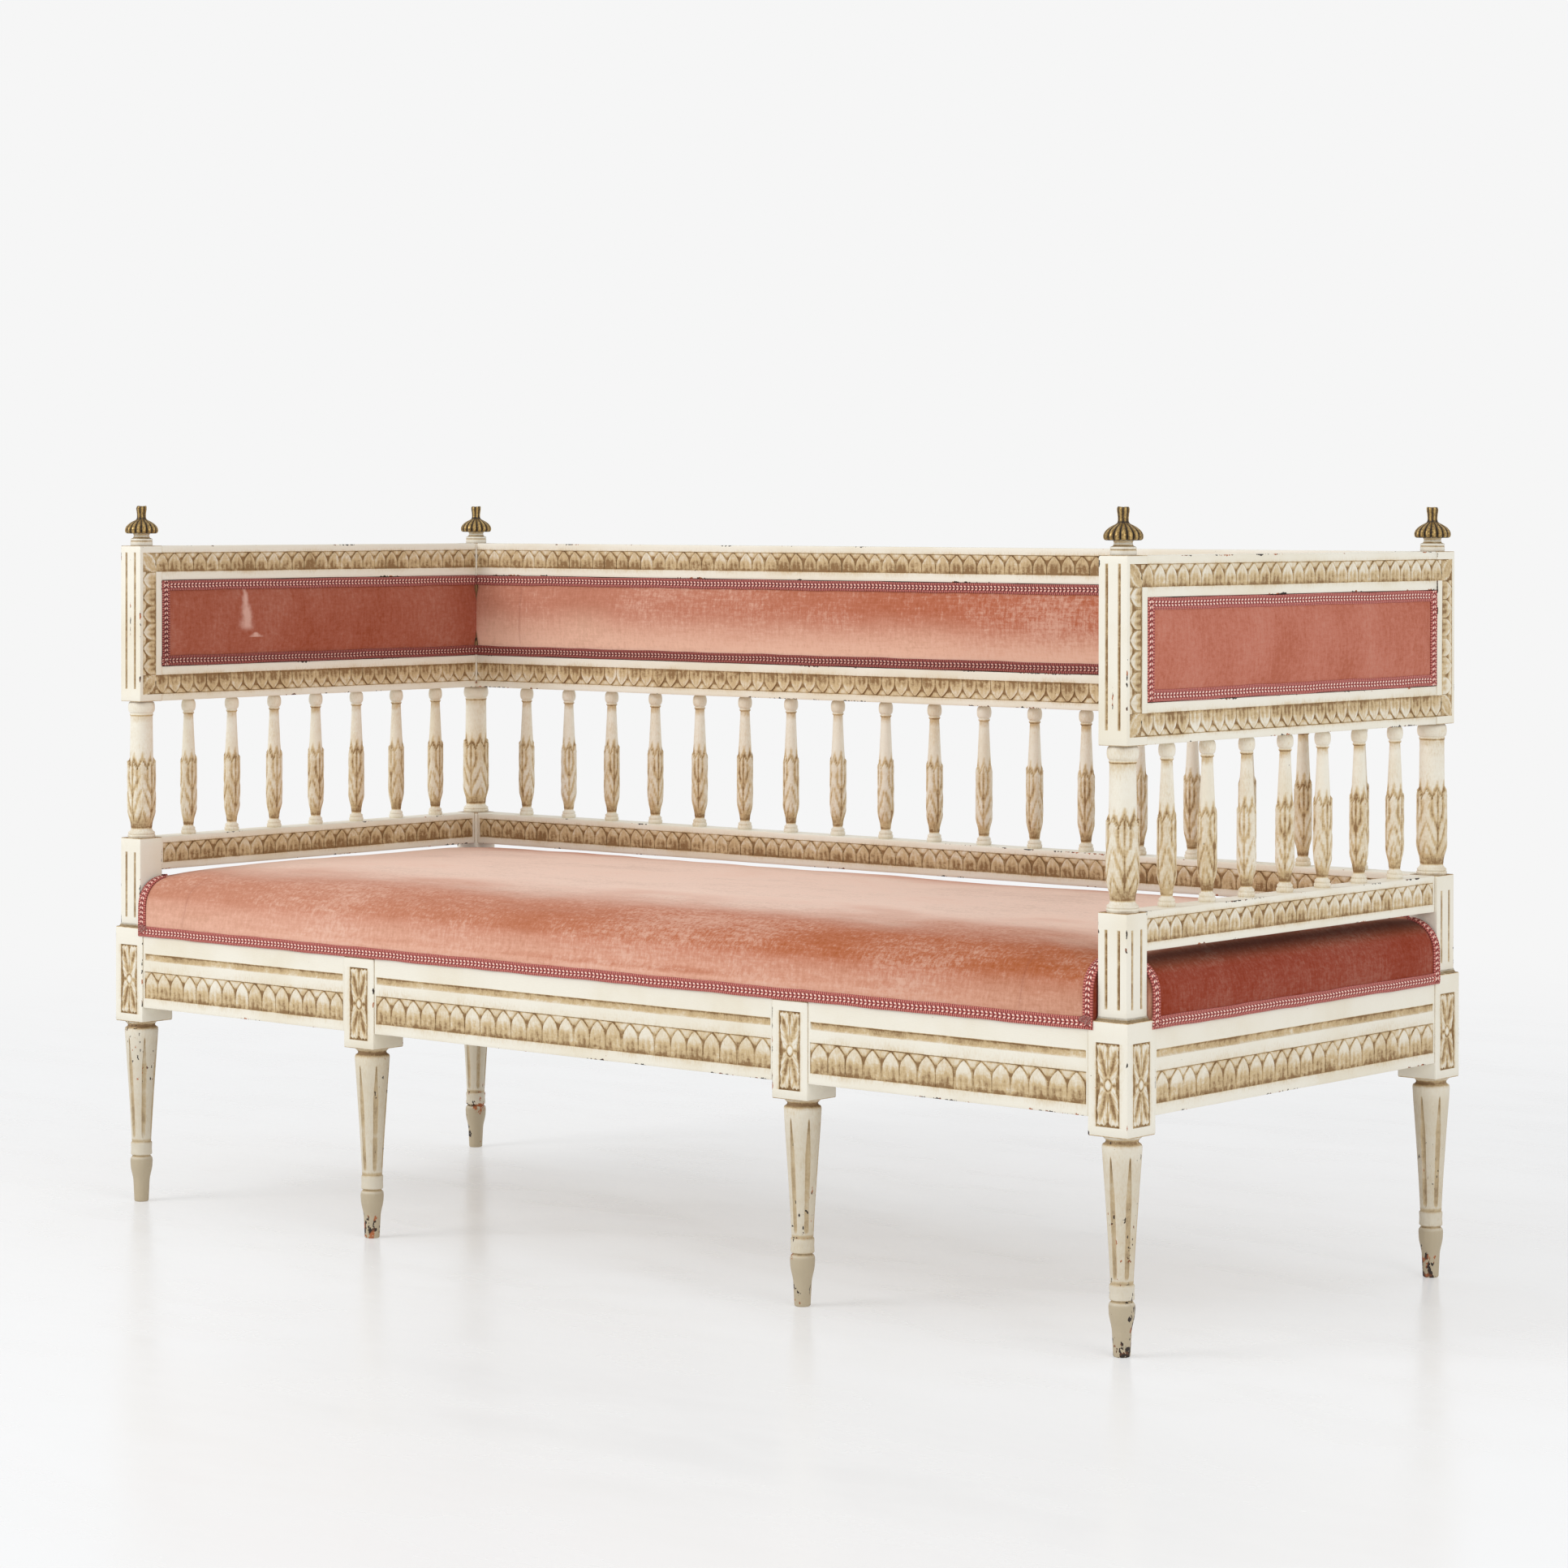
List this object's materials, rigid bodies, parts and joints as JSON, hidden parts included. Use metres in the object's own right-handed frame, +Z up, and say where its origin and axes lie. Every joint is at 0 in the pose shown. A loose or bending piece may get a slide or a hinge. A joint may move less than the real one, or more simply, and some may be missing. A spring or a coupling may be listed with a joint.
{
  "type": "sofa",
  "caption": "Painted and carved wooden sofa with turned legs and posts, open spindle galleries, upholstered upper panels, gilt cap finials and a tight velvet seat.",
  "frame": {"origin": "on the floor under the middle of the sofa", "axes": "+Z up; +X along the length towards the right end as seen from the front; the front faces -Y"},
  "size_m": [1.714, 0.712, 0.959],
  "materials": {
    "painted_wood": "cream paint with a brown wash in the carving, worn",
    "bare_wood": "plain softwood",
    "gilt": "dark antique gilding, worn",
    "velvet": "short pile velvet, worn",
    "gimp": "woven braid",
    "webbing": "woven jute strap",
    "hessian": "coarse jute cloth",
    "stuffing": "curled hair and wadding",
    "steel": "plain countersunk screws"
  },
  "bodies": {
    "root": {"post_front_left": "painted_wood", "post_front_right": "painted_wood", "post_back_left": "painted_wood", "post_back_right": "painted_wood", "middle_leg_left": "painted_wood", "middle_leg_right": "painted_wood", "front_seat_rail": "painted_wood", "back_seat_rail": "painted_wood", "side_seat_rail_left": "painted_wood", "side_seat_rail_right": "painted_wood", "cross_rail_left": "bare_wood", "cross_rail_right": "bare_wood", "corner_brace_front_left": "bare_wood", "corner_brace_front_right": "bare_wood", "corner_brace_back_left": "bare_wood", "corner_brace_back_right": "bare_wood", "lower_rail_left": "painted_wood", "lower_rail_right": "painted_wood", "lower_rail_back": "painted_wood", "spindles_left": "painted_wood", "spindles_right": "painted_wood", "spindles_back": "painted_wood", "arm_bottom_rail_left": "painted_wood", "arm_bottom_rail_right": "painted_wood", "back_bottom_rail": "painted_wood", "arm_top_rail_left": "painted_wood", "arm_top_rail_right": "painted_wood", "back_top_rail": "painted_wood", "panel_board_left": "bare_wood", "panel_board_right": "bare_wood", "panel_board_back": "bare_wood", "pad_inner_left": "velvet", "pad_outer_left": "velvet", "pad_inner_right": "velvet", "pad_outer_right": "velvet", "pad_back_front": "velvet", "pad_back_rear": "velvet", "gimp_inner_left": "gimp", "gimp_outer_left": "gimp", "gimp_inner_right": "gimp", "gimp_outer_right": "gimp", "gimp_back_front": "gimp", "gimp_back_rear": "gimp", "finial_collar_front_left": "painted_wood", "finial_collar_front_right": "painted_wood", "finial_collar_back_left": "painted_wood", "finial_collar_back_right": "painted_wood", "finial_cap_front_left": "gilt", "finial_cap_front_right": "gilt", "finial_cap_back_left": "gilt", "finial_cap_back_right": "gilt", "seat_webbing": "webbing", "seat_hessian": "hessian", "seat_stuffing": "stuffing", "seat_cover": "velvet", "seat_gimp": "gimp", "joint_pegs": "bare_wood", "brace_screws": "steel"}
  },
  "joints": []
}
